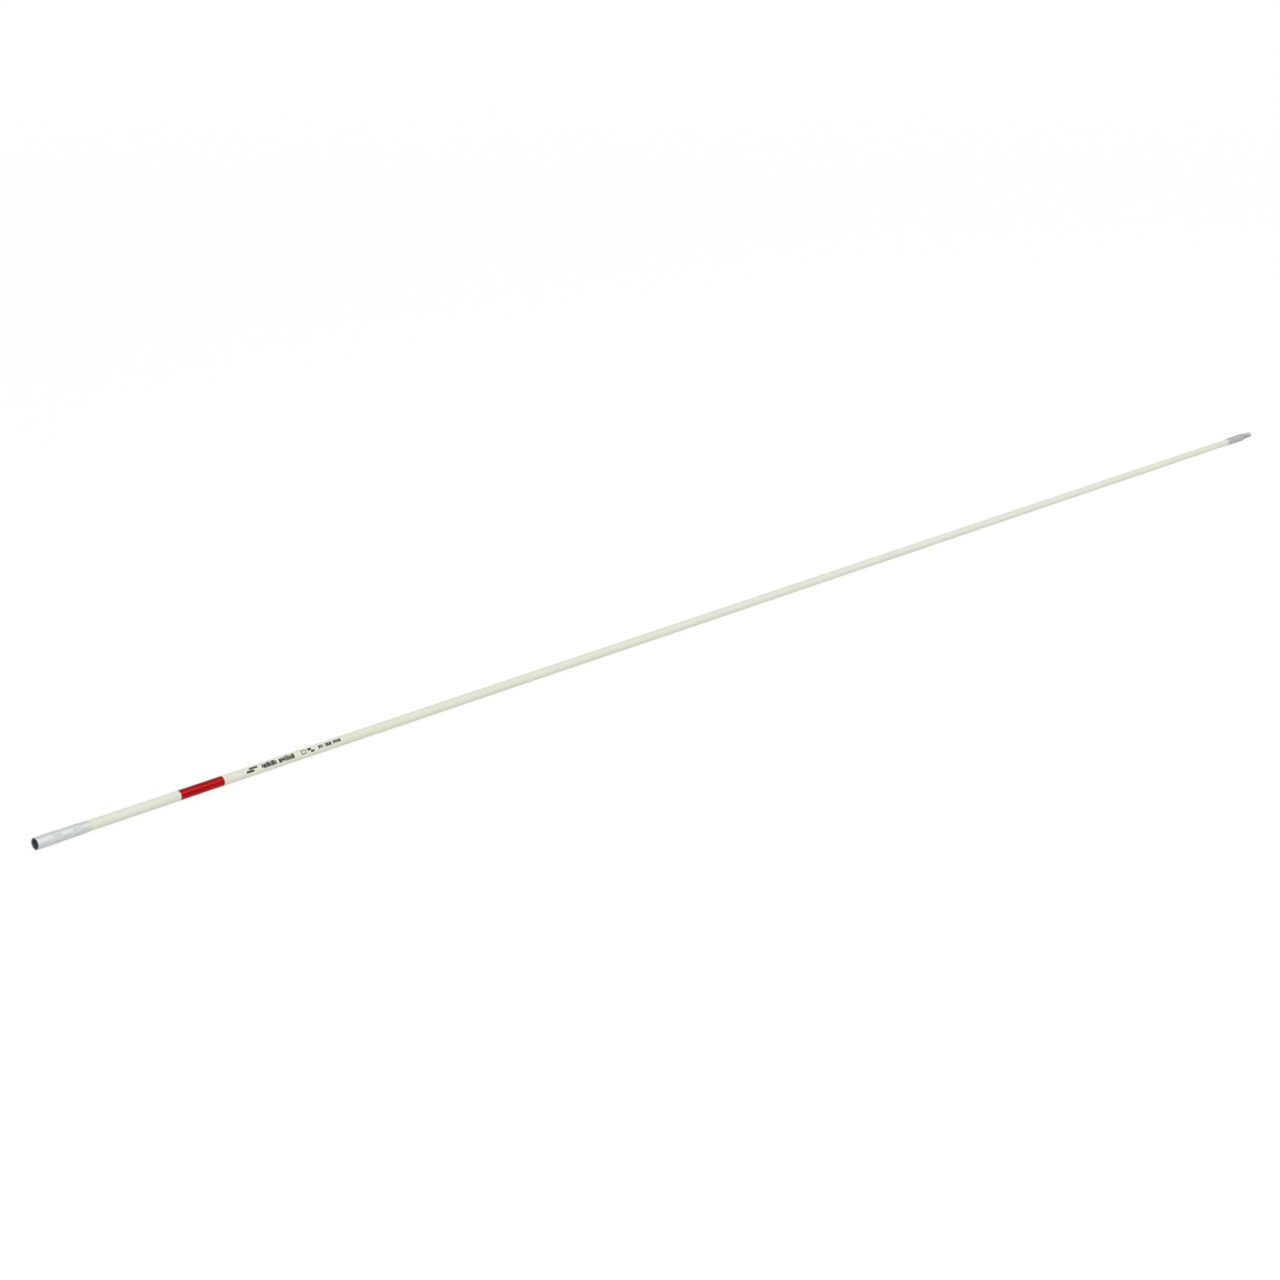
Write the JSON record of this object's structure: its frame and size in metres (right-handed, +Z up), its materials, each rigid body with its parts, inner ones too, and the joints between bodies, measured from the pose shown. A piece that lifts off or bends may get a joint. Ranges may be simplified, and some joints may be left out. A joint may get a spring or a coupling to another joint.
{
  "type": "cable fishing rod section",
  "caption": "Long ivory glass-fibre rod with a crimped steel ferrule at each end: a threaded socket at one, a threaded stud at the other, for screwing sections end to end.",
  "frame": {"origin": "centre of the socket's mouth, on the rod's axis", "axes": "+X along the rod towards the stud's tip; +Z up, square to one flat of each crimp"},
  "size_m": [1.524, 0.0074, 0.0074],
  "materials": {
    "glass_fibre": "satin",
    "ivory_coating": "satin",
    "red_band": "gloss",
    "plated_steel": "satin",
    "black_steel": "satin",
    "bare_steel": "satin",
    "adhesive": "gloss",
    "black_ink": "matte"
  },
  "bodies": {
    "root": {"rod_core": "glass_fibre", "rod_jacket": "ivory_coating", "colour_band": "red_band", "socket_sleeve": "plated_steel", "socket_core": "black_steel", "socket_bond": "adhesive", "stud_sleeve": "plated_steel", "stud_core": "bare_steel", "stud_bond": "adhesive"}
  },
  "joints": []
}
